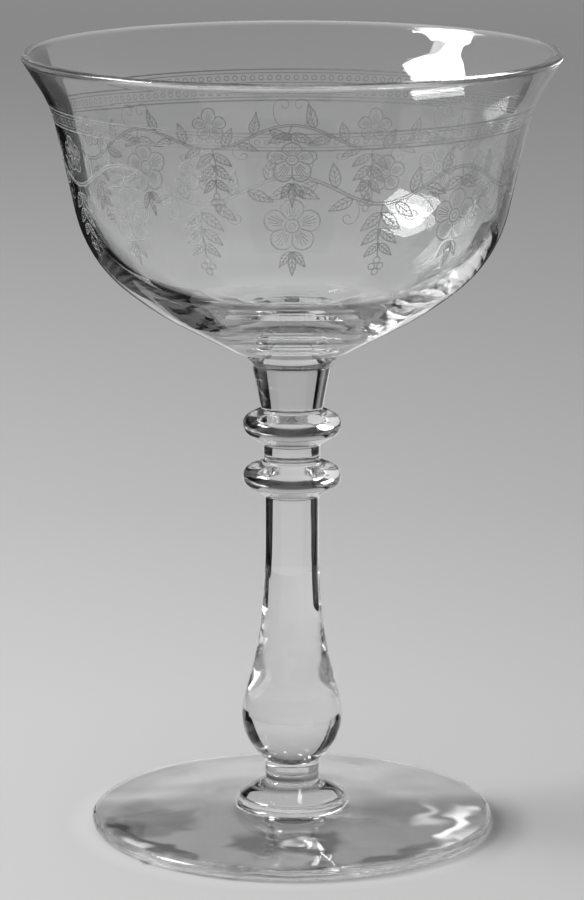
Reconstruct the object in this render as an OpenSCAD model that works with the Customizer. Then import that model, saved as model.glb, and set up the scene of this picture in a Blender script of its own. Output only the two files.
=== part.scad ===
// Sherbet glass: a thin blown bowl with a flared lip, on a solid stem with two rings and a drop,
// standing on a spread foot. Three pieces of clear glass that were joined hot, flat face to flat face.
// Millimetres, +Z up, with the origin on the table under the middle of the foot.

/* [Foot] */
// Diameter of the foot
foot_d = 72.4; // [66:0.2:80]
// Thickness of the foot's rounded edge
foot_edge_t = 2; // [1.6:0.1:2.6]
// Height of the foot's upper face where it meets the cap
foot_crown_h = 3.3; // [2.9:0.1:3.9]
// Depth of the hollow under the foot
foot_hollow_h = 0.9; // [0.3:0.1:1.4]
// Width of the ring that touches the table
rest_w = 3; // [2:0.5:6]
// Diameter of the cap in the middle of the foot
cap_d = 19.2; // [17:0.2:22]
// Height of the cap's shoulder above the table
cap_h = 5.2; // [4.6:0.1:5.8]
// Height at which the cap's cone runs into the neck
cap_cone_h = 8; // [7.2:0.1:8.6]
// Height of the foot's joint with the stem
foot_h = 9.4; // [9:0.1:10.5]
// Radius of the cap's shoulder
cap_round = 0.9; // [0.5:0.1:1.2]
// Radius of the hollow corner between cap and foot
cap_fillet = 1; // [0.5:0.1:1.6]

/* [Stem] */
// Diameter of the lower neck, and of the joint with the foot
neck_d = 9.7; // [8.6:0.1:11]
// Height of the lower neck above the foot's joint
neck_h = 2.3; // [1.6:0.1:3.2]
// Diameter of the drop at its widest
drop_d = 18; // [16:0.2:22]
// Height from the lower neck to the drop's widest place
drop_h = 8; // [6:0.2:10]
// Height from the drop's widest place to the even shaft
taper_h = 32.3; // [26:0.1:40]
// Diameter of the shaft
shaft_d = 9.6; // [8.6:0.1:11]
// Height of the even shaft
shaft_h = 8.5; // [6:0.5:12]
// Diameter of both rings
ring_d = 17.5; // [16:0.1:20]
// Height of each ring's sloping underside
ring_under_h = 2.4; // [1.8:0.1:3.2]
// Height of each ring's edge
ring_edge_h = 2.4; // [1.6:0.1:3]
// Height of each ring's sloping top
ring_top_h = 1.6; // [1.2:0.1:2.4]
// Radius of each ring's edge
ring_round = 1.9; // [0.8:0.1:2.2]
// Diameter of the neck between the rings
ring_neck_d = 10.1; // [9.2:0.1:11.6]
// Height of the neck between the rings
ring_neck_h = 3; // [2:0.1:5]
// Diameter of the collar just above the upper ring
collar_d = 11; // [10:0.1:12.2]
// Diameter of the collar's top
collar_top_d = 14.2; // [13.2:0.1:15]
// Height of the collar
collar_h = 8; // [6:0.5:12]
// Diameter of the thin lip round the stem's top
lip_d = 15.9; // [15.4:0.1:17.4]
// Height from the collar's top to the lip's edge
lip_flare_h = 1.3; // [0.9:0.1:2]
// Height from the lip's edge to the joint with the bowl
lip_top_h = 0.7; // [0.4:0.1:1.2]

/* [Bowl] */
// Diameter of the joint between stem and bowl
waist_d = 14.2; // [13:0.1:15.4]
// Height of the bowl from its joint to the rim
bowl_h = 53.7; // [48:0.1:60]
// Diameter of the rim
rim_d = 94.5; // [91:0.5:100]
// Thickness of the fire-polished rim
rim_t = 1.7; // [1.4:0.1:2.2]
// Thickness of the side wall
wall_t = 1.35; // [1:0.05:1.8]
// Diameter at the corner of lip and side, before rounding
flare_d = 84.5; // [81:0.5:87]
// Depth of that corner below the rim
flare_drop = 8.9; // [7:0.1:12]
// Radius of the lip's flare
flare_round = 21.8; // [14:0.2:26]
// Diameter at the corner of side and belly, before rounding
belly_d = 72.4; // [69:0.2:76]
// Height of that corner above the joint
belly_h = 17.5; // [16:0.1:19]
// Radius of the belly
belly_round = 24; // [18:0.5:26]
// Diameter at the corner of belly and underside, before rounding
keel_d = 49.2; // [45:0.2:53]
// Height of that corner above the joint
keel_h = 8.3; // [7.2:0.1:9.2]
// Radius that blends belly and underside
keel_round = 56; // [40:1:70]
// Diameter at which the underside flattens towards the joint
base_d = 21.6; // [18:0.2:26]
// Height of that place above the joint
base_h = 0.8; // [0.6:0.1:1.4]
// Radius that blends the underside there
base_round = 4; // [2:0.5:8]
// Thickness of glass between the joint and the bowl's floor
floor_t = 5.2; // [4.6:0.1:6]
// Diameter at which the floor starts to rise, before rounding
floor_d = 24; // [20:0.5:27]
// Radius of the floor's rise
floor_round = 29; // [20:1:40]
// Diameter at which the rising floor bends towards the wall, before rounding
bend_d = 50.2; // [48:0.2:52]
// Height of that bend above the joint
bend_h = 12.2; // [11.8:0.1:13]
// Radius of that bend
bend_round = 46; // [36:1:56]
// Height above the joint at which floor and inner wall meet, before rounding
well_h = 18.6; // [18:0.1:20]
// Radius between floor and inner wall
well_round = 22; // [16:0.5:26]

/* [Hidden] */
$fn = 120;

// Radius of the crease that a hot joint leaves on the outside of each piece
seam_round = 0.2;
// Radius of the small hollow corners where a ring meets shaft, neck or collar
ring_fillet = 0.3;
// Radius of the thin lip's edge
lip_round = 0.15;
// Radius of the hollow corners of the lower neck
neck_fillet = 0.8;
// Radius of the hollow under the foot where it starts to fall to the rest ring
hollow_round = 80;
// Largest turn between two points of an arc, in degrees, and shortest step along it
arc_turn = 3;
arc_step = 0.1;
// Shortest length that still counts as a rounding
least = 0.001;
// Share of an edge that the roundings at its two ends may take together
edge_share = 0.98;
// Points along each of the drop's curves
curve_points = 24;
// Lengths of the drop's curve handles as shares of its sizes: leaving the lower neck, below the widest
// place, above it, and into the shaft
drop_lean = 0.27;
drop_low = 0.4;
drop_high = 0.195;
drop_away = 0.69;

glass_colour = [0.82, 0.85, 0.86, 0.45];

// Heights of the stem's stations above the table, each from the one below
neck_top = foot_h + neck_h;
drop_mid = neck_top + drop_h;
shaft_low = drop_mid + taper_h;
ring_h = ring_under_h + ring_edge_h + ring_top_h;
lower_ring = shaft_low + shaft_h;
upper_ring = lower_ring + ring_h + ring_neck_h;
collar_low = upper_ring + ring_h;
collar_top = collar_low + collar_h;
lip_edge = collar_top + lip_flare_h;
waist = lip_edge + lip_top_h;
rim_top = waist + bowl_h;

// Unit vector along v
function unit(v) = v / norm(v);

// Angle by which the outline turns at corner b, between its neighbours a and c
function turn(a, b, c) = acos(max(-1, min(1, unit(b - a) * unit(c - b))));

// Point of a corner without its radius
function point(corner) = [corner.x, corner.y];

// Length of each edge that the rounding at corner i of list c would take
function wanted(c, i) =
    i == 0 || i == len(c) - 1 ? 0
    : c[i][2] * tan(turn(point(c[i - 1]), point(c[i]), point(c[i + 1])) / 2);

// The same length where the two edges at corner i are too short for it and its neighbours
function reach(c, i) =
    let (own = wanted(c, i),
         before = norm(point(c[i]) - point(c[i - 1])) / max(least, own + wanted(c, i - 1)),
         after = norm(point(c[i + 1]) - point(c[i])) / max(least, own + wanted(c, i + 1)))
    own * min(1, edge_share * before, edge_share * after);

// Points of an arc that starts at p along direction d and turns by the angle a on radius r
function arc(p, d, a, r) =
    let (side = [-d.y, d.x] * sign(a),
         centre = p + side * r,
         steps = max(2, ceil(min(abs(a) / arc_turn, r * abs(a) * PI / 180 / arc_step))))
    [for (i = [0:steps]) let (b = abs(a) * i / steps) centre - side * r * cos(b) + d * r * sin(b)];

// Outline through corners [radius from the axis, height, rounding], with each corner rounded
function rounded(c) = [
    for (i = [0:len(c) - 1])
        if (wanted(c, i) < least) point(c[i])
        else
            let (a = point(c[i - 1]), b = point(c[i]), e = point(c[i + 1]),
                 into = unit(b - a), out = unit(e - b), bend = turn(a, b, e),
                 way = into.x * out.y - into.y * out.x < 0 ? -1 : 1)
            each arc(b - into * reach(c, i), into, way * bend, reach(c, i) / tan(bend / 2))
];

// Corner b of an outline a, b, c moved in by t, to the left of the way it runs
function inset(a, b, c, t) =
    let (u = unit(b - a), v = unit(c - b), m = [-u.y, u.x], n = [-v.y, v.x])
    b + (m + n) * t / (1 + m * n);

// Sharp corners after p along a curve from p to q that leaves p by the handle u and reaches q by the handle v
function curve(p, q, u, v) = [
    for (i = [1:curve_points])
        let (t = i / curve_points, s = 1 - t,
             at = s * s * s * p + 3 * s * s * t * (p + u) + 3 * s * t * t * (q - v) + t * t * t * q)
        [at.x, at.y, 0]
];

// Solid of revolution about Z of a closed outline of radius and height
module turned(outline) {
    rotate_extrude() polygon(outline);
}

// Corners of one ring whose underside starts at height z
function ring(z) = [
    [ring_d / 2, z + ring_under_h, ring_round],
    [ring_d / 2, z + ring_under_h + ring_edge_h, ring_round]
];

// The foot: a spread disc with a rounded edge, a cap that carries the stem and a hollow underside
module foot() {
    rest_r = (foot_d - foot_edge_t) / 2 - rest_w;
    color(glass_colour) turned(rounded([
        [0, foot_hollow_h, 0],
        [cap_d / 2, foot_hollow_h, hollow_round],
        [rest_r, 0, 0],
        [foot_d / 2, 0, foot_edge_t / 2],
        [foot_d / 2, foot_edge_t, foot_edge_t / 2],
        [cap_d / 2, foot_crown_h, cap_fillet],
        [cap_d / 2, cap_h, cap_round],
        [neck_d / 2, cap_cone_h, neck_fillet],
        [neck_d / 2, foot_h, seam_round],
        [0, foot_h, 0]
    ]));
}

// The stem: lower neck, drop, shaft, two rings, tapering collar and the thin lip under the bowl
module stem() {
    drop_start = [neck_d / 2, neck_top];
    drop_widest = [drop_d / 2, drop_mid];
    drop_end = [shaft_d / 2, shaft_low];
    color(glass_colour) turned(rounded(concat(
        [[0, foot_h, 0], [neck_d / 2, foot_h, seam_round], [neck_d / 2, neck_top, neck_fillet]],
        curve(drop_start, drop_widest, [drop_d - neck_d, drop_h] * drop_lean, [0, drop_h * drop_low]),
        curve(drop_widest, drop_end, [0, taper_h * drop_high], [0, taper_h * drop_away]),
        [[shaft_d / 2, lower_ring, ring_fillet]],
        ring(lower_ring),
        [[ring_neck_d / 2, lower_ring + ring_h, ring_fillet], [ring_neck_d / 2, upper_ring, ring_fillet]],
        ring(upper_ring),
        [
            [collar_d / 2, collar_low, ring_fillet],
            [collar_top_d / 2, collar_top, neck_fillet],
            [lip_d / 2, lip_edge, lip_round],
            [waist_d / 2, waist, seam_round],
            [0, waist, 0]
        ]
    )));
}

// The bowl: a thin wall with a flared lip and a rounded rim, over a heavy floor
module bowl() {
    rim_round = rim_t / 2;
    rim_mid = [rim_d / 2 - rim_round, rim_top - rim_round];
    flare = [flare_d / 2, rim_top - flare_drop];
    belly = [belly_d / 2, waist + belly_h];
    up = unit(rim_mid - flare);
    across = [up.y, -up.x] * rim_round;
    rim_outer = rim_mid + across + up * rim_round;
    rim_inner = rim_mid - across + up * rim_round;
    inner_flare = inset(belly, flare, rim_outer, wall_t);
    well_z = waist + well_h;
    well_r = inner_flare.x + (flare.x - belly.x) / (flare.y - belly.y) * (well_z - inner_flare.y);
    color(glass_colour) turned(rounded([
        [0, waist, 0],
        [waist_d / 2, waist, seam_round],
        [base_d / 2, waist + base_h, base_round],
        [keel_d / 2, waist + keel_h, keel_round],
        [belly.x, belly.y, belly_round],
        [flare.x, flare.y, flare_round],
        [rim_outer.x, rim_outer.y, rim_round],
        [rim_inner.x, rim_inner.y, rim_round],
        [inner_flare.x, inner_flare.y, flare_round + wall_t],
        [well_r, well_z, well_round],
        [bend_d / 2, waist + bend_h, bend_round],
        [floor_d / 2, waist + floor_t, floor_round],
        [0, waist + floor_t, 0]
    ]));
}

foot();
stem();
bowl();
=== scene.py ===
import math

import bmesh
import bpy
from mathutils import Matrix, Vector


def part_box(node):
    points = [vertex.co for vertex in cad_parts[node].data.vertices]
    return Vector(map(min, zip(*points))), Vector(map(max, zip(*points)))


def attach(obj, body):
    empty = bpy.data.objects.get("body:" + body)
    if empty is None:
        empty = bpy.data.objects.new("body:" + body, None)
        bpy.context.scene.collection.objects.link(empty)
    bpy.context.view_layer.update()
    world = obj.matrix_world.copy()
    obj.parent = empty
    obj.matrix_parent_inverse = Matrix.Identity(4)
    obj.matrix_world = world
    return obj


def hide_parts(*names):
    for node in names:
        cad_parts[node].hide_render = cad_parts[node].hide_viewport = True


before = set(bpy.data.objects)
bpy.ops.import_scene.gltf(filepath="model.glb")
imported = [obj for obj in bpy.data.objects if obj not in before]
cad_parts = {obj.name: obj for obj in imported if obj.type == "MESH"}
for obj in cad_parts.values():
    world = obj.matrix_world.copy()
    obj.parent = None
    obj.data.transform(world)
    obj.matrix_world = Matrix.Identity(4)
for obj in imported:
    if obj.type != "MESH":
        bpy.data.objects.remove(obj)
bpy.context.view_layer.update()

# The bowl
# A gather of clear glass blown in a mould, cut free, and fire polished to a rounded, flared lip.
# Its heavy bottom was stuck hot on the stem, so the flat face there is fused and doesn't show.

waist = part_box("stem")[1].z
lip_height = 0.0011
lip_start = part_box("bowl")[1].z - lip_height


def section_of(name, longest):
    """Half outline of a turned CAD node as (radius, 0, height), from the axis round to the axis."""
    touching = 1e-7
    solid = bmesh.new()
    solid.from_mesh(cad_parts[name].data)
    bmesh.ops.remove_doubles(solid, verts=solid.verts, dist=touching)
    on_cut = {v for v in solid.verts if abs(v.co.y) < touching and v.co.x > touching}
    beside = {v: [e.other_vert(v) for e in v.link_edges if e.other_vert(v) in on_cut] for v in on_cut}
    here = min((v for v in on_cut if len(beside[v]) == 1), key=lambda v: v.co.z)
    chain = [here]
    while True:
        onward = [v for v in beside[here] if v not in chain[-2:]]
        if not onward:
            break
        here = onward[0]
        chain.append(here)
    corners = [v.co.copy() for v in chain]
    solid.free()
    corners = [Vector((0, 0, corners[0].z))] + corners + [Vector((0, 0, corners[-1].z))]
    points = [corners[0]]
    for a, b in zip(corners, corners[1:]):
        parts = max(1, math.ceil((b - a).length / longest))
        points += [a.lerp(b, i / parts) for i in range(1, parts + 1)]
    return points


def add(tree, kind, inputs=None, **settings):
    """Add a node, set its properties, and fill its named or numbered inputs with links or values."""
    made = tree.nodes.new(kind)
    for name, value in settings.items():
        setattr(made, name, value)
    for key, value in (inputs or {}).items():
        if isinstance(value, bpy.types.NodeSocket):
            tree.links.new(value, made.inputs[key])
        else:
            made.inputs[key].default_value = value
    return made


def maths(tree, operation, *values):
    """Result of a Math node on links or numbers."""
    return add(tree, "ShaderNodeMath", dict(enumerate(values)), operation=operation).outputs[0]


def group_sockets(tree, inputs, outputs):
    """Declare a node group's named sockets and return its input node's outputs and its output node."""
    for name, kind in inputs:
        tree.interface.new_socket(name, in_out="INPUT", socket_type="NodeSocket" + kind)
    for name, kind in outputs:
        tree.interface.new_socket(name, in_out="OUTPUT", socket_type="NodeSocket" + kind)
    return tree.nodes.new("NodeGroupInput").outputs, tree.nodes.new("NodeGroupOutput")


def turned_glass_tree():
    """Turn a section about Z, let the surface waver as in hand work, and mark the fused faces."""
    seam_gap, joint_gap = 2e-6, 1e-5
    still_within, free_beyond = 0.0001, 0.003
    crease, nearly_level = math.radians(50), 0.999
    tree = bpy.data.node_groups.new("Turned glass", "GeometryNodeTree")
    tree.is_modifier = True
    given, result = group_sockets(tree, [
        ("Section", "Geometry"), ("Points", "Int"), ("Steps", "Int"),
        ("Wave height", "Float"), ("Wave size", "Float"), ("Seed", "Float"),
        ("Lower joint", "Float"), ("Upper joint", "Float"),
        ("Glass", "Material"), ("Fused face", "Material"),
    ], [("Piece", "Geometry")])
    columns = maths(tree, "ADD", given["Steps"], 1)
    grid = add(tree, "GeometryNodeMeshGrid", {"Vertices X": columns, "Vertices Y": given["Points"]})
    index = add(tree, "GeometryNodeInputIndex").outputs[0]
    column = maths(tree, "FLOOR", maths(tree, "DIVIDE", maths(tree, "ADD", index, 0.5), given["Points"]))
    row = maths(tree, "SUBTRACT", index, maths(tree, "MULTIPLY", column, given["Points"]))
    place = add(tree, "GeometryNodeInputPosition").outputs[0]
    corner = add(tree, "GeometryNodeSampleIndex", {
        "Geometry": given["Section"], "Value": place, "Index": row,
    }, data_type="FLOAT_VECTOR", domain="POINT").outputs[0]
    corner = add(tree, "ShaderNodeSeparateXYZ", {0: corner}).outputs
    angle = maths(tree, "MULTIPLY", maths(tree, "DIVIDE", column, given["Steps"]), math.tau)
    on_circle = add(tree, "ShaderNodeCombineXYZ", {
        "X": maths(tree, "MULTIPLY", corner["X"], maths(tree, "COSINE", angle)),
        "Y": maths(tree, "MULTIPLY", corner["X"], maths(tree, "SINE", angle)),
        "Z": corner["Z"],
    }).outputs[0]
    wrapped = add(tree, "GeometryNodeSetPosition", {
        "Geometry": grid.outputs["Mesh"], "Position": on_circle,
    })
    closed = add(tree, "GeometryNodeMergeByDistance", {
        "Geometry": wrapped.outputs[0], "Distance": seam_gap,
    })
    height = add(tree, "ShaderNodeSeparateXYZ", {0: place}).outputs["Z"]
    from_lower = maths(tree, "ABSOLUTE", maths(tree, "SUBTRACT", height, given["Lower joint"]))
    from_upper = maths(tree, "ABSOLUTE", maths(tree, "SUBTRACT", height, given["Upper joint"]))
    from_table = maths(tree, "ABSOLUTE", height)
    nearest = maths(tree, "MINIMUM", from_table, maths(tree, "MINIMUM", from_lower, from_upper))
    calm = add(tree, "ShaderNodeMapRange", {
        "Value": nearest, "From Min": still_within, "From Max": free_beyond,
    }).outputs[0]
    waves = maths(tree, "DIVIDE", 1, given["Wave size"])
    ripple = add(tree, "ShaderNodeTexNoise", {
        "Vector": place, "W": given["Seed"], "Scale": waves, "Detail": 0.0,
    }, noise_dimensions="4D").outputs[0]
    lift = maths(tree, "MULTIPLY", maths(tree, "MULTIPLY", maths(tree, "SUBTRACT", ripple, 0.5), calm),
                 given["Wave height"])
    normal = add(tree, "GeometryNodeInputNormal").outputs[0]
    offset = add(tree, "ShaderNodeVectorMath", {0: normal, "Scale": lift}, operation="SCALE").outputs[0]
    wavy = add(tree, "GeometryNodeSetPosition", {"Geometry": closed.outputs[0], "Offset": offset})
    smooth = add(tree, "GeometryNodeSetShadeSmooth", {"Geometry": wavy.outputs[0], "Shade Smooth": True})
    bend = add(tree, "GeometryNodeInputMeshEdgeAngle").outputs["Unsigned Angle"]
    crisp = add(tree, "GeometryNodeSetShadeSmooth", {
        "Geometry": smooth.outputs[0], "Selection": maths(tree, "GREATER_THAN", bend, crease),
        "Shade Smooth": False,
    }, domain="EDGE")
    upright = add(tree, "ShaderNodeSeparateXYZ", {0: normal}).outputs["Z"]
    flat = maths(tree, "GREATER_THAN", maths(tree, "ABSOLUTE", upright), nearly_level)
    at_joint = maths(tree, "LESS_THAN", maths(tree, "MINIMUM", from_lower, from_upper), joint_gap)
    real = add(tree, "GeometryNodeRealizeInstances", {"Geometry": crisp.outputs[0]})
    clear = add(tree, "GeometryNodeSetMaterial", {"Geometry": real.outputs[0], "Material": given["Glass"]})
    fused = add(tree, "GeometryNodeSetMaterial", {
        "Geometry": clear.outputs[0], "Selection": maths(tree, "MULTIPLY", flat, at_joint),
        "Material": given["Fused face"],
    })
    tree.links.new(fused.outputs[0], result.inputs[0])
    return tree


def bake_nodes(piece, tree, values):
    """Run a geometry node tree on a piece with its inputs set by name, and keep only the plain mesh."""
    modifier = piece.modifiers.new(tree.name, "NODES")
    modifier.node_group = tree
    for socket in tree.interface.items_tree:
        if socket.in_out == "INPUT" and socket.name in values:
            modifier[socket.identifier] = values[socket.name]
    bpy.context.view_layer.update()
    made = bpy.data.meshes.new_from_object(piece.evaluated_get(bpy.context.evaluated_depsgraph_get()))
    piece.modifiers.clear()
    piece.data = made
    made.name = piece.name


turned_glass = turned_glass_tree()


def turned_piece(name, node, longest, values):
    """A piece of glass turned from the section of the CAD node that it replaces."""
    points = section_of(node, longest)
    start = bpy.data.meshes.new(name)
    start.from_pydata(points, [], [])
    piece = bpy.data.objects.new(name, start)
    bpy.context.scene.collection.objects.link(piece)
    bake_nodes(piece, turned_glass, {"Points": len(points), **values})
    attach(piece, "root")
    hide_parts(node)
    return piece


def hand_finish_group():
    """Faint haze and ripples of a hand-finished glass surface, with a softer shine from a lip upward."""
    tree = bpy.data.node_groups.new("Hand finish", "ShaderNodeTree")
    given, result = group_sockets(tree, [
        ("Haze size", "Float"), ("Haze", "Float"), ("Ripple size", "Float"),
        ("Lip", "Float"), ("Lip haze", "Float"),
    ], [("Roughness", "Float"), ("Ripple", "Float")])
    place = add(tree, "ShaderNodeTexCoord").outputs["Object"]
    haze = add(tree, "ShaderNodeTexNoise", {
        "Vector": place, "Scale": maths(tree, "DIVIDE", 1, given["Haze size"]), "Detail": 3.0,
    }).outputs[0]
    haze = add(tree, "ShaderNodeMapRange", {"Value": haze, "From Min": 0.45, "From Max": 0.75}).outputs[0]
    ripple = add(tree, "ShaderNodeTexNoise", {
        "Vector": place, "Scale": maths(tree, "DIVIDE", 1, given["Ripple size"]), "Detail": 0.5,
    }).outputs[0]
    height = add(tree, "ShaderNodeSeparateXYZ", {0: place}).outputs["Z"]
    on_lip = maths(tree, "MULTIPLY", maths(tree, "GREATER_THAN", height, given["Lip"]), given["Lip haze"])
    worn = maths(tree, "MULTIPLY", haze, given["Haze"])
    tree.links.new(maths(tree, "MAXIMUM", worn, on_lip), result.inputs["Roughness"])
    tree.links.new(ripple, result.inputs["Ripple"])
    return tree


hand_finish = hand_finish_group()


def clear_glass(name, haze, ripple_size, ripple_height, lets_through):
    """Clear colourless glass that lets lamps through to the table by shares for face on and edge on."""
    material = bpy.data.materials.new(name)
    material.use_nodes = True
    tree = material.node_tree
    tree.nodes.clear()
    finish = add(tree, "ShaderNodeGroup", node_tree=hand_finish)
    finish.inputs["Haze size"].default_value = 0.02
    finish.inputs["Haze"].default_value = haze
    finish.inputs["Ripple size"].default_value = ripple_size
    finish.inputs["Lip"].default_value = lip_start
    finish.inputs["Lip haze"].default_value = 0.14
    bump = add(tree, "ShaderNodeBump", {
        "Height": finish.outputs["Ripple"], "Distance": ripple_height, "Strength": 1.0,
    })
    glass = add(tree, "ShaderNodeBsdfPrincipled", {
        "Base Color": (0.985, 0.99, 0.988, 1), "Roughness": finish.outputs["Roughness"], "IOR": 1.51,
        "Transmission Weight": 1.0, "Normal": bump.outputs[0],
    })
    edge_on = add(tree, "ShaderNodeLayerWeight", {"Blend": 0.35}).outputs["Facing"]
    face_on_share, edge_on_share = lets_through
    shade = add(tree, "ShaderNodeMapRange", {
        "Value": edge_on, "To Min": face_on_share, "To Max": edge_on_share,
    }).outputs[0]
    through = add(tree, "ShaderNodeBsdfTransparent", {"Color": shade})
    path = add(tree, "ShaderNodeLightPath").outputs
    # Light that wanders inside the glass past this many turns is let out, so that it doesn't end black.
    most_turns = 30.5
    let_out = add(tree, "ShaderNodeBsdfTransparent", {"Color": (0.9, 0.9, 0.9, 1)})
    lost = maths(tree, "GREATER_THAN", path["Ray Depth"], most_turns)
    kept = add(tree, "ShaderNodeMixShader", {0: lost, 1: glass.outputs[0], 2: let_out.outputs[0]})
    mixed = add(tree, "ShaderNodeMixShader", {
        0: path["Is Shadow Ray"], 1: kept.outputs[0], 2: through.outputs[0],
    })
    add(tree, "ShaderNodeOutputMaterial", {"Surface": mixed.outputs[0]})
    return material


def fused_face():
    """Faces inside a hot joint, where two pieces are one glass and nothing shows."""
    material = bpy.data.materials.new("Fused face")
    material.use_nodes = True
    tree = material.node_tree
    tree.nodes["Principled BSDF"].inputs["Alpha"].default_value = 0.0
    return material


no_face = fused_face()
bowl_finish = clear_glass("Bowl glass", haze=0.015, ripple_size=0.012, ripple_height=0.000004,
                          lets_through=(0.97, 0.6))
bowl = turned_piece("bowl_glass", "bowl", longest=0.0008, values={
    "Steps": 256, "Wave height": 0.00001, "Wave size": 0.03, "Seed": 2.0,
    "Lower joint": waist, "Upper joint": waist, "Glass": bowl_finish, "Fused face": no_face,
})

# The stem
# Pressed in one piece while hot: a thin lip, a collar, two rings, a slender shaft and a drop.
# It is solid clear glass, and both of its ends were fused to their neighbours while soft.

foot_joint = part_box("stem")[0].z
stem_finish = clear_glass("Stem glass", haze=0.01, ripple_size=0.008, ripple_height=0.000002,
                          lets_through=(0.85, 0.7))
stem = turned_piece("stem_glass", "stem", longest=0.0006, values={
    "Steps": 128, "Wave height": 0.00001, "Wave size": 0.01, "Seed": 5.0,
    "Lower joint": foot_joint, "Upper joint": waist, "Glass": stem_finish, "Fused face": no_face,
})

# The foot
# A gather of the same glass, dropped on the stem's end and spread with a wooden clapper while hot.
# The clapper leaves its faces a little wavy, and its edge was rounded in the fire.

foot_finish = clear_glass("Foot glass", haze=0.02, ripple_size=0.01, ripple_height=0.000006,
                          lets_through=(0.97, 0.5))
foot = turned_piece("foot_glass", "foot", longest=0.0008, values={
    "Steps": 224, "Wave height": 0.0007, "Wave size": 0.011, "Seed": 9.0,
    "Lower joint": foot_joint, "Upper joint": foot_joint, "Glass": foot_finish, "Fused face": no_face,
})

# The etched ornament
# A frosted design bitten into the bowl's outer face with acid: bands with beads, and a vine with blossoms
# and sprays under them. It is drawn flat once, repeated round the bowl and laid on its surface.

repeats = 8
drawn_radius = 38.0
pitch = math.tau * drawn_radius / repeats
bold, fine, relief = 0.26, 0.15, 0.03
beads, bead_height, bead_radius = 20, 129.85, 0.42
vine_height, vine_swing, vine_half_gap = 121.4, 2.6, 0.22
strokes = []


def stroke(points, width):
    """Keep a line of (across, up) points in millimetres."""
    strokes.append(([Vector(point) for point in points], width))


def ring(centre, radius, width, parts=10):
    """A small circle."""
    angles = [math.tau * i / parts for i in range(parts + 1)]
    stroke([(centre[0] + radius * math.cos(a), centre[1] + radius * math.sin(a)) for a in angles], width)


def leaf(base, heading, length, breadth):
    """A pointed leaf with a midrib and slanting veins, growing from its base along a heading in degrees."""
    along = Vector((math.cos(math.radians(heading)), math.sin(math.radians(heading))))
    side = Vector((-along.y, along.x))
    base = Vector(base)

    def edge(t, way):
        swell = math.sin(math.pi * t ** 0.8) * (1 - 0.25 * t)
        return base + along * length * t + side * way * breadth / 2 * swell

    steps = [i / 9 for i in range(10)]
    stroke([edge(t, 1) for t in steps] + [edge(t, -1) for t in reversed(steps)], bold)
    stroke([base, base + along * length * 0.9], fine)
    for t in (0.2, 0.38, 0.56):
        for way in (1, -1):
            stroke([base + along * length * t, base + (edge(t + 0.2, way) - base) * 0.97], fine)


def blossom(centre, radius, petals=5):
    """An open flower: lobed outline, lines along the petals and a seeded middle."""
    centre = Vector(centre)

    def rim(angle, share):
        lobe = 0.66 + 0.34 * abs(math.cos(petals / 2 * (angle - math.pi / 2))) ** 0.7
        return centre + Vector((math.cos(angle), math.sin(angle))) * radius * share * lobe

    stroke([rim(math.tau * i / 60, 1) for i in range(61)], bold)
    for petal in range(petals):
        middle = math.pi / 2 + math.tau * petal / petals
        stroke([rim(middle + math.pi / petals, 0.45), rim(middle + math.pi / petals, 1)], bold)
        for turn, share in ((-0.3, 0.72), (-0.15, 0.84), (0.0, 0.88), (0.15, 0.84), (0.3, 0.72)):
            stroke([rim(middle + turn, 0.36), rim(middle + turn, share)], fine)
    ring(centre, radius * 0.26, bold)
    ring(centre, radius * 0.12, fine, 6)


def tendril(start, heading, size, way):
    """A curling tendril that starts along a heading and winds up."""
    point, angle, points = Vector(start), math.radians(heading), [Vector(start)]
    for i in range(20):
        angle += way * (0.08 + 0.028 * i)
        point = point + Vector((math.cos(angle), math.sin(angle))) * size * (1 - 0.03 * i) / 7
        points.append(point)
    stroke(points, fine)


def vine(x):
    """Height of the vine, which rises and falls once in each repeat."""
    return vine_height + vine_swing * math.cos(math.tau * x / pitch)


# The band: double lines above and below a row of beads.
band_steps = [pitch * (i / 12 - 0.5) for i in range(13)]
for height, width in ((131.3, bold), (130.7, fine), (129.0, fine), (128.4, bold)):
    stroke([(x, height) for x in band_steps], width)
for i in range(beads):
    ring((pitch * ((i + 0.5) / beads - 0.5), bead_height), bead_radius, fine, 8)

# The vine, its leaves and its tendrils.
vine_steps = [pitch * (i / 36 - 0.5) for i in range(37)]
for lift in (-vine_half_gap, vine_half_gap):
    stroke([(x, vine(x) + lift) for x in vine_steps], bold)
for i, x in enumerate((-12.6, -9.8, -7.0, -4.0, 4.0, 7.0, 9.8, 12.6)):
    slope = math.degrees(math.atan2(vine(x + 0.1) - vine(x - 0.1), 0.2))
    way = 1 if i % 2 else -1
    leaf((x, vine(x) + 0.3 * way), slope + (90 - 38 * (1 if x < 0 else -1)) * way, 4.4, 2.0)
for way in (-1, 1):
    tendril((way * 2.2, vine(2.2) + 0.3), 90 - way * 40, 4.6, way)
    tendril((way * 10.4, vine(10.4) - 0.3), -90 + way * 30, 4.2, -way)

# The large blossom that hangs under each crest of the vine.
blossom((0, 115.4), 4.7)
stroke([(0, vine(0)), (0.5, 122.4), (0, 120.0)], bold)
leaf((0.2, 122.0), 205, 4.6, 2.1)
leaf((0.2, 122.0), -25, 4.6, 2.1)
for heading, length in ((-125, 3.4), (-90, 4.4), (-55, 3.4)):
    leaf((0.5 * math.cos(math.radians(heading)), 110.9), heading, length, 1.5)

# The spray with berries under each hollow of the vine, and the small blossom over it.
half = pitch / 2
stroke([(half, vine(half)), (half - 0.4, 114.5), (half, 109.6)], bold)
for height, length in ((117.2, 4.6), (114.4, 4.2), (111.8, 3.4)):
    leaf((half, height), -40, length, length * 0.44)
    leaf((half, height), 220, length, length * 0.44)
for x, height in ((0, 108.9), (-0.8, 107.8), (0.8, 107.8), (0, 106.8)):
    ring((half + x, height), 0.6, bold, 9)
blossom((half, 124.0), 3.2)


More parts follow.
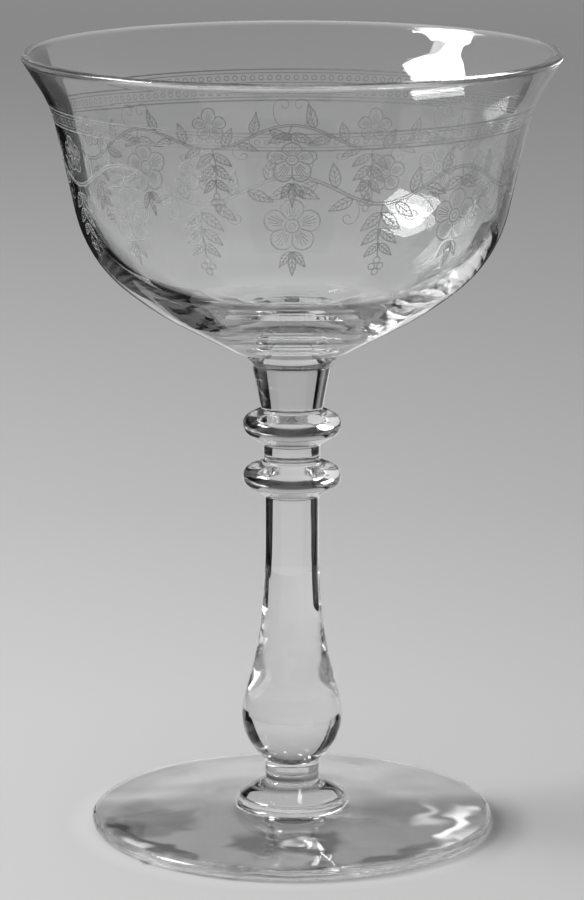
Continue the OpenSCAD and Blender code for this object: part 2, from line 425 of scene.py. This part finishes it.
def ornament_tree():
    """Draw a motif's lines as low ridges, repeat it round the bowl and lay it on the outer face."""
    outside, mostly_above = 0.1, 0.6
    tree = bpy.data.node_groups.new("Etched ornament", "GeometryNodeTree")
    tree.is_modifier = True
    given, result = group_sockets(tree, [
        ("Motif", "Geometry"), ("Bowl", "Object"), ("Repeats", "Int"), ("Drawn radius", "Float"),
        ("Relief", "Float"), ("Frost", "Material"),
    ], [("Ornament", "Geometry")])
    lines = add(tree, "GeometryNodeMeshToCurve", {"Mesh": given["Motif"]})
    width = add(tree, "GeometryNodeInputNamedAttribute", {"Name": "width"}, data_type="FLOAT").outputs[0]
    profile = add(tree, "GeometryNodeCurvePrimitiveCircle", {"Resolution": 4, "Radius": 0.5})
    ridges = add(tree, "GeometryNodeCurveToMesh", {
        "Curve": lines.outputs[0], "Profile Curve": profile.outputs[0], "Scale": width, "Fill Caps": True,
    })
    step = maths(tree, "DIVIDE", maths(tree, "MULTIPLY", given["Drawn radius"], math.tau), given["Repeats"])
    places = add(tree, "GeometryNodeMeshLine", {
        "Count": given["Repeats"], "Offset": add(tree, "ShaderNodeCombineXYZ", {"X": step}).outputs[0],
    })
    copies = add(tree, "GeometryNodeInstanceOnPoints", {
        "Points": places.outputs[0], "Instance": ridges.outputs[0],
    })
    flat = add(tree, "GeometryNodeRealizeInstances", {"Geometry": copies.outputs[0]})
    at = add(tree, "ShaderNodeSeparateXYZ", {0: add(tree, "GeometryNodeInputPosition").outputs[0]}).outputs
    turn = maths(tree, "DIVIDE", at["X"], given["Drawn radius"])
    outward = add(tree, "ShaderNodeCombineXYZ", {
        "X": maths(tree, "SINE", turn), "Y": maths(tree, "MULTIPLY", maths(tree, "COSINE", turn), -1),
    }).outputs[0]
    level = add(tree, "ShaderNodeCombineXYZ", {"Z": at["Z"]}).outputs[0]
    start = add(tree, "ShaderNodeVectorMath", {
        0: outward, 1: (outside, outside, outside), 2: level,
    }, operation="MULTIPLY_ADD")
    inward = add(tree, "ShaderNodeVectorMath", {0: outward, "Scale": -1.0}, operation="SCALE")
    bowl_shape = add(tree, "GeometryNodeObjectInfo", {"Object": given["Bowl"]}).outputs["Geometry"]
    ray = add(tree, "GeometryNodeRaycast", {
        "Target Geometry": bowl_shape, "Source Position": start.outputs[0],
        "Ray Direction": inward.outputs[0], "Ray Length": outside,
    }).outputs
    share = maths(tree, "DIVIDE", at["Y"], width)
    lift = maths(tree, "MULTIPLY", maths(tree, "SUBTRACT", mostly_above, share), given["Relief"])
    lifts = add(tree, "ShaderNodeCombineXYZ", {"X": lift, "Y": lift, "Z": lift}).outputs[0]
    laid = add(tree, "ShaderNodeVectorMath", {
        0: ray["Hit Normal"], 1: lifts, 2: ray["Hit Position"],
    }, operation="MULTIPLY_ADD")
    wrapped = add(tree, "GeometryNodeSetPosition", {
        "Geometry": flat.outputs[0], "Position": laid.outputs[0],
    })
    smooth = add(tree, "GeometryNodeSetShadeSmooth", {"Geometry": wrapped.outputs[0], "Shade Smooth": True})
    frosted = add(tree, "GeometryNodeSetMaterial", {
        "Geometry": smooth.outputs[0], "Material": given["Frost"],
    })
    tree.links.new(frosted.outputs[0], result.inputs[0])
    return tree


frost = bpy.data.materials.new("Etched frost")
frost.use_nodes = True
frost_shader = frost.node_tree.nodes["Principled BSDF"]
frost_shader.inputs["Base Color"].default_value = (0.5, 0.505, 0.505, 1)
frost_shader.inputs["Roughness"].default_value = 0.5
frost_shader.inputs["Alpha"].default_value = 0.36

corners, edges, widths = [], [], []
for points, width in strokes:
    first = len(corners)
    corners += [(p.x / 1000, 0, p.y / 1000) for p in points]
    widths += [width / 1000] * len(points)
    edges += [(first + i, first + i + 1) for i in range(len(points) - 1)]
motif = bpy.data.meshes.new("etched_ornament")
motif.from_pydata(corners, edges, [])
motif.attributes.new("width", "FLOAT", "POINT").data.foreach_set("value", widths)
ornament = bpy.data.objects.new("etched_ornament", motif)
bpy.context.scene.collection.objects.link(ornament)
bake_nodes(ornament, ornament_tree(), {
    "Bowl": bowl, "Repeats": repeats, "Drawn radius": drawn_radius / 1000, "Relief": relief / 1000,
    "Frost": frost,
})
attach(ornament, "root")

# The paper carries painted shade and shadow, and painted caustics that glow, round the foot.
# The table and the room round it
# A matt paper on a table beside a window on the left, in a dim room. None of it is part of the glass.
# Cards stand for what the glass shows of that room by mirroring it and by bending its light.

table_radius, below_foot = 4.0, 0.0002
floor_mesh = bpy.data.meshes.new("table")
shape = bmesh.new()
bmesh.ops.create_circle(shape, cap_ends=True, radius=table_radius, segments=96)
for vertex in shape.verts:
    vertex.co.z = -below_foot
shape.to_mesh(floor_mesh)
shape.free()
floor = bpy.data.objects.new("table", floor_mesh)
bpy.context.scene.collection.objects.link(floor)


def grey_ramp(tree, value, stops):
    """Colour ramp of greys over (position, grey) stops."""
    made = add(tree, "ShaderNodeValToRGB", {0: value})
    ramp = made.color_ramp
    (ramp.elements[0].position, first), (ramp.elements[1].position, last) = stops[0], stops[-1]
    ramp.elements[0].color = (first, first, first, 1)
    ramp.elements[1].color = (last, last, last, 1)
    for position, grey in stops[1:-1]:
        ramp.elements.new(position).color = (grey, grey, grey, 1)
    return made.outputs[0]


# The paper's material holds painted shade, painted shadow and glowing painted caustics round the foot.
paper = bpy.data.materials.new("Matt paper")
paper.use_nodes = True
paper_tree = paper.node_tree
paper_tree.nodes.clear()
place = add(paper_tree, "ShaderNodeTexCoord").outputs["Object"]
at = add(paper_tree, "ShaderNodeSeparateXYZ", {0: place}).outputs
reach = add(paper_tree, "ShaderNodeVectorMath", {0: place}, operation="LENGTH").outputs["Value"]
# Painted light and shade in the paper's grey: a painted shadow under the cap, painted light under the rest
# of the foot, and darker further out as painted falloff of the light.
tone = grey_ramp(paper_tree, maths(paper_tree, "DIVIDE", reach, 1.5), (
    (0.0, 0.2), (0.006, 0.2), (0.0077, 0.62), (0.022, 0.66), (0.025, 0.5), (0.055, 0.5), (0.103, 0.468),
    (0.167, 0.43), (0.244, 0.413), (0.333, 0.405), (1.0, 0.40),
))
stir = add(paper_tree, "ShaderNodeTexNoise", {"Vector": place, "Scale": 130.0, "Detail": 1.0}).outputs[0]
stir = maths(paper_tree, "SUBTRACT", stir, 0.5)
stir_across, stir_around = 0.011, 40
stirred_reach = maths(paper_tree, "MULTIPLY_ADD", stir, stir_across, reach)
front = maths(paper_tree, "ARCTAN2", at["X"], maths(paper_tree, "MULTIPLY", at["Y"], -1))
front_degrees = maths(paper_tree, "MULTIPLY", front, 180 / math.pi)
stirred_turn = maths(paper_tree, "MULTIPLY_ADD", stir, stir_around, front_degrees)


def both(one, other):
    """Product of two masks on the paper."""
    return maths(paper_tree, "MULTIPLY", one, other)


def soft_step(value, middle, blur, rising):
    """Soft step up or down over a value."""
    return add(paper_tree, "ShaderNodeMapRange", {
        "Value": value, "From Min": middle - blur, "From Max": middle + blur,
        "To Min": 0.0 if rising else 1.0, "To Max": 1.0 if rising else 0.0,
    }, interpolation_type="SMOOTHSTEP").outputs[0]


def patch(near, far, first, last, strength, blur=0.0015):
    """Soft patch between two radii and two turns in degrees from the front, of painted shade or painted
    light where the foot bends light.
    """
    turn_blur = 7
    across = both(soft_step(stirred_reach, near, blur, True), soft_step(stirred_reach, far, blur, False))
    around = both(soft_step(stirred_turn, first, turn_blur, True),
                  soft_step(stirred_turn, last, turn_blur, False))
    return both(both(across, around), strength)


# The paper right of the foot's edge, where a painted shadow of the glass lies.
beside = both(soft_step(front, 1.1, 0.35, True), soft_step(front, 1.85, 0.25, False))
beside = both(beside, soft_step(reach, 0.0362, 0.0006, True))
# Painted shade on the paper: dark tongues and streaks inside the foot's edge, a dark patch in front of the
# cap, and the painted shadow beside the foot.
for shade in (
    patch(0.019, 0.031, -100, -62, 0.45), patch(0.0312, 0.0345, -82, -26, 0.75, 0.0008),
    patch(0.012, 0.024, -30, 30, 0.6), patch(0.0295, 0.034, 14, 52, 0.6, 0.0008),
    both(both(beside, soft_step(reach, 0.0405, 0.0045, False)), 0.5),
    both(both(beside, soft_step(reach, 0.1, 0.05, False)), 0.12),
):
    left = maths(paper_tree, "SUBTRACT", 1, shade)
    tone = add(paper_tree, "ShaderNodeVectorMath", {0: tone, "Scale": left}, operation="SCALE").outputs[0]
# Painted caustics: bright arcs and flecks that glow on the paper under the foot, where the foot would
# gather the window's light.
painted_caustics = patch(0.0295, 0.0325, 62, 94, 1.2, 0.001)
for painted_gleam in (
    patch(0.0245, 0.027, 70, 104, 0.5, 0.001), patch(0.033, 0.0355, 46, 72, 0.9, 0.0008),
    patch(0.0335, 0.0355, -64, -36, 0.7, 0.0008), patch(0.0165, 0.0195, -9, -2, 0.8, 0.0008),
    patch(0.0165, 0.0215, 7, 13, 0.8, 0.0008),
):
    painted_caustics = maths(paper_tree, "ADD", painted_caustics, painted_gleam)
painted_caustics = both(painted_caustics, soft_step(reach, 0.0352, 0.0005, False))
lit = add(paper_tree, "ShaderNodeBsdfDiffuse", {"Color": tone})
painted_caustic_glow = add(paper_tree, "ShaderNodeEmission", {"Color": (1, 1, 1, 1), "Strength": painted_caustics})
paper_and_painted_caustics = add(paper_tree, "ShaderNodeAddShader", {0: lit.outputs[0], 1: painted_caustic_glow.outputs[0]})
clear_away = add(paper_tree, "ShaderNodeBsdfTransparent")
far = add(paper_tree, "ShaderNodeMapRange", {"Value": reach, "From Min": 0.8, "From Max": 1.6},
          interpolation_type="SMOOTHSTEP")
mixed = add(paper_tree, "ShaderNodeMixShader", {
    0: far.outputs[0], 1: paper_and_painted_caustics.outputs[0], 2: clear_away.outputs[0],
})
add(paper_tree, "ShaderNodeOutputMaterial", {"Surface": mixed.outputs[0]})
floor_mesh.materials.append(paper)

# The room is pale at eye height and dark above, as the glass shows it, with an even fill for the paper.
world = bpy.data.worlds.new("Room")
bpy.context.scene.world = world
world.use_nodes = True
world_tree = world.node_tree
world_tree.nodes.clear()
looking = add(world_tree, "ShaderNodeTexCoord").outputs["Generated"]
way = add(world_tree, "ShaderNodeSeparateXYZ", {0: looking}).outputs
height = add(world_tree, "ShaderNodeMapRange", {
    "Value": way["Z"], "From Min": -0.2, "From Max": 1.0,
}).outputs[0]
seen = grey_ramp(world_tree, height, ((0.0, 0.27), (0.17, 0.27), (0.38, 0.27), (0.75, 0.05), (1.0, 0.03)))
behind = add(world_tree, "ShaderNodeMapRange", {
    "Value": way["Y"], "From Min": -0.5, "From Max": 0.1, "To Min": 0.1,
}).outputs[0]
seen = add(world_tree, "ShaderNodeVectorMath", {0: seen, "Scale": behind}, operation="SCALE").outputs[0]
diffuse_ray = add(world_tree, "ShaderNodeLightPath").outputs["Is Diffuse Ray"]
shown = add(world_tree, "ShaderNodeMix", {
    "Factor": diffuse_ray, "A": seen, "B": (0.42, 0.42, 0.42, 1),
}, data_type="RGBA")
light = add(world_tree, "ShaderNodeBackground", {"Color": shown.outputs["Result"], "Strength": 1.0})
add(world_tree, "ShaderNodeOutputWorld", {"Surface": light.outputs[0]})

# The window lights the table, and faces the bowl.
window_width, window_height, window_power = 0.58, 0.4, 14.5
aim = Vector((0, 0, 0.1))
window_light = bpy.data.lights.new("window light", "AREA")
window_light.shape = "RECTANGLE"
window_light.size = window_width
window_light.size_y = window_height
window_light.energy = window_power
window = bpy.data.objects.new("window light", window_light)
window.location = (-0.797, -0.056, 0.715)
window.rotation_euler = (aim - window.location).to_track_quat("-Z", "Y").to_euler()
window.visible_camera = window.visible_glossy = window.visible_transmission = False
bpy.context.scene.collection.objects.link(window)

# The glass mirrors the panes of the window, as bright as its light. They are narrow in the middle.
pane_brightness = window_power / (math.pi * window_width * window_height)
pane_corners = (
    (165, 200), (145, 188), (22, 121), (-75, 80), (-115, 66), (-40, 87), (67, 108), (145, 112), (230, 90),
    (290, 70), (290, -200), (-275, -200), (-275, -33), (-245, 18), (-228, 27), (-290, 12), (-290, 200),
)
panes = bpy.data.meshes.new("window panes")
panes.from_pydata([(across / 1000, up / 1000, 0) for across, up in pane_corners], [],
                  [tuple(range(len(pane_corners)))])
pane_glow = bpy.data.materials.new("window panes")
pane_glow.use_nodes = True
pane_glow.node_tree.nodes.clear()
bright = add(pane_glow.node_tree, "ShaderNodeEmission", {
    "Color": (1, 1, 1, 1), "Strength": pane_brightness,
})
add(pane_glow.node_tree, "ShaderNodeOutputMaterial", {"Surface": bright.outputs[0]})
panes.materials.append(pane_glow)
mirrored_window = bpy.data.objects.new("window panes", panes)
mirrored_window.location = window.location
mirrored_window.rotation_euler = window.rotation_euler
mirrored_window.visible_camera = mirrored_window.visible_diffuse = mirrored_window.visible_shadow = False
bpy.context.scene.collection.objects.link(mirrored_window)


def out_from_axis(bearing, radius):
    """Point on the table at a bearing in degrees from straight behind the glass."""
    return Vector((math.sin(math.radians(bearing)), math.cos(math.radians(bearing)), 0)) * radius


ramp_top = 0.3


def screen(name, posts, joined, stops, mirrored=True, seen_through=True):
    """Screen that only the glass sees, from pairs of low and high points, glowing with greys by height that
    stand in for the room's light and shade.
    """
    mesh = bpy.data.meshes.new(name)
    faces = [(2 * a, 2 * b, 2 * b + 1, 2 * a + 1) for a, b in joined]
    mesh.from_pydata([point for post in posts for point in post], [], faces)
    made = bpy.data.objects.new(name, mesh)
    bpy.context.scene.collection.objects.link(made)
    material = bpy.data.materials.new(name)
    material.use_nodes = True
    tree = material.node_tree
    tree.nodes.clear()
    place = add(tree, "ShaderNodeTexCoord").outputs["Object"]
    level = add(tree, "ShaderNodeSeparateXYZ", {0: place}).outputs["Z"]
    tone = grey_ramp(tree, maths(tree, "DIVIDE", level, ramp_top), stops)
    glow = add(tree, "ShaderNodeEmission", {"Color": tone, "Strength": 1.0})
    add(tree, "ShaderNodeOutputMaterial", {"Surface": glow.outputs[0]})
    mesh.materials.append(material)
    made.visible_camera = made.visible_diffuse = made.visible_shadow = False
    made.visible_glossy = mirrored
    made.visible_transmission = seen_through


def card(name, columns, stops, spread=0.0, **seen):
    """Card bent round the glass in columns of (bearing, radius, low, high), leaning out by the spread."""
    posts = []
    for bearing, radius, low, high in columns:
        posts.append((out_from_axis(bearing, radius) + Vector((0, 0, low)),
                      out_from_axis(bearing, radius + spread) + Vector((0, 0, high))))
    screen(name, posts, [(i, i + 1) for i in range(len(posts) - 1)], stops, **seen)


def dark_from(bearing):
    """Height at which the room behind the table turns dark, which comes down to the table on both sides."""
    highest, all_dark, fade, steepness = 0.11, 44, 18, 2.5
    return highest * max(0, (all_dark - abs(bearing)) / fade) ** steepness


def blind(name, bearings, start, length, hidden_from, high, stops, **seen):
    """Upright slats in the lines of sight from one point, so that they show only from other sides."""
    overlap = 0.012
    posts = []
    for bearing in bearings:
        low = max(0, dark_from(bearing) - overlap)
        near_end = out_from_axis(bearing, start)
        far_end = near_end + (near_end - Vector(hidden_from)).normalized() * length
        for end in (near_end, far_end):
            posts.append((end + Vector((0, 0, low)), end + Vector((0, 0, high))))
    screen(name, posts, [(2 * i, 2 * i + 1) for i in range(len(bearings))], stops, **seen)


def even(grey):
    """Stops of a card that has one grey."""
    return ((0.0, grey), (1.0, grey))


black = even(0.005)
sheet_radius, dark_radius, foot_radius, stand_radius = 0.155, 0.135, 0.15, 0.052
off_paper = 0.0005
# The pale sheet glows with painted light: bright near the table and darker towards the top.
card("pale sheet behind", [(b, sheet_radius, 0.0, ramp_top) for b in range(-62, 53, 6)], (
    (0.0, 0.58), (0.067, 0.54), (0.133, 0.49), (0.2, 0.45), (0.267, 0.40), (0.333, 0.345), (0.4, 0.30),
    (0.467, 0.265), (0.667, 0.20), (1.0, 0.12),
))
card("dark right side", [(b, dark_radius, dark_from(b), 0.12) for b in range(26, 51, 2)],
     ((0.0, 0.005), (0.29, 0.005), (0.33, 0.16), (0.4, 0.2)), mirrored=False)
room_radius, room_top = 0.134, 0.17
card("dark room on the right",
     [(44, room_radius, 0.1, room_top)] + [(b, room_radius, 0.0, room_top) for b in range(50, 111, 10)],
     ((0.0, 0.005), (0.29, 0.005), (0.33, 0.15), (0.395, 0.15), (0.43, 0.005), (1.0, 0.005)),
     mirrored=False)
card("dark stand on the right", [(b, 0.06, 0.082, 0.096) for b in range(44, 93, 8)], black, mirrored=False)
card("dark table on the right", [(b, 0.09, off_paper, off_paper) for b in (46, 54, 62, 70)], black,
     spread=0.045, mirrored=False)
fading_up = ((0.0, 0.005), (0.387, 0.005), (0.41, 0.12), (0.433, 0.26))
card("dark left side", [(bearing, dark_radius, low, high) for bearing, low, high in (
    (-24.5, 0.11, 0.126), (-25, 0.066, 0.13), (-40, 0.066, 0.13), (-60, 0.066, 0.13),
    (-61, 0.066, 0.105), (-80, 0.066, 0.105), (-100, 0.066, 0.105),
)], fading_up, seen_through=False)
blind("dark left slats", [-26.5 - 1.5 * i for i in range(24)], start=0.125, length=0.022,
      hidden_from=(0.6, -0.6, 0), high=0.13, stops=fading_up, mirrored=False)
card("bright window side", [(b, 0.5, 0.15, 0.3) for b in range(-60, -121, -10)], even(0.85), mirrored=False)
low_top = 0.07
card("dark lower left", [(b, foot_radius, 0.0, low_top) for b in (-28, -44, -60)], black,
     seen_through=False)
card("dark lower right", [(b, foot_radius, 0.045, low_top) for b in (28, 44, 60)], black,
     seen_through=False)
for side in (-1, 1):
    card("dark table beside the paper",
         [(side * b, foot_radius, 0.0, low_top) for b in (60, 78, 96, 114, 132)], black, seen_through=False)
    card("dark table top", [(side * b, 0.07, off_paper, off_paper) for b in (50, 70, 90, 110, 130)], black,
         spread=0.25, seen_through=False)
card("dark room in front", [(b, 0.11, 0.0, 0.11) for b in range(160, 201, 10)], black, mirrored=False)
card("strip behind, mirrored in the foot", [(b, foot_radius, 0.012, 0.095) for b in range(-27, 28, 6)], (
    (0.0, 0.95), (0.1, 0.95), (0.18, 0.02), (1.0, 0.02),
), seen_through=False)
card("dim stand on the left", [(bearing, stand_radius, low, 0.062) for bearing, low in (
    (-31, 0.05), (-34, 0.02), (-42, 0.016), (-52, 0.014), (-62, 0.014),
)], even(0.02))

# The camera, solved from the ellipses of the rim and the foot in the photograph's frame of 584 by 900.
frame_height, focal_pixels = 900, 4059
camera_distance, camera_height, camera_dip = 0.7057, 0.225, 12.49
camera_data = bpy.data.cameras.new("camera")
camera_data.sensor_width = 36
camera_data.lens = focal_pixels / frame_height * camera_data.sensor_width
camera = bpy.data.objects.new("camera", camera_data)
camera.location = (0, -camera_distance, camera_height)
camera.rotation_euler = (math.radians(90 - camera_dip), 0, 0)
bpy.context.scene.collection.objects.link(camera)
scene = bpy.context.scene
scene.camera = camera
scene.view_settings.view_transform = "Standard"
light_turns = 40
scene.cycles.max_bounces = light_turns
scene.cycles.transmission_bounces = light_turns
scene.cycles.glossy_bounces = light_turns
scene.cycles.transparent_max_bounces = 32
scene.cycles.caustics_refractive = False
scene.cycles.caustics_reflective = False
scene.cycles.use_denoising = True
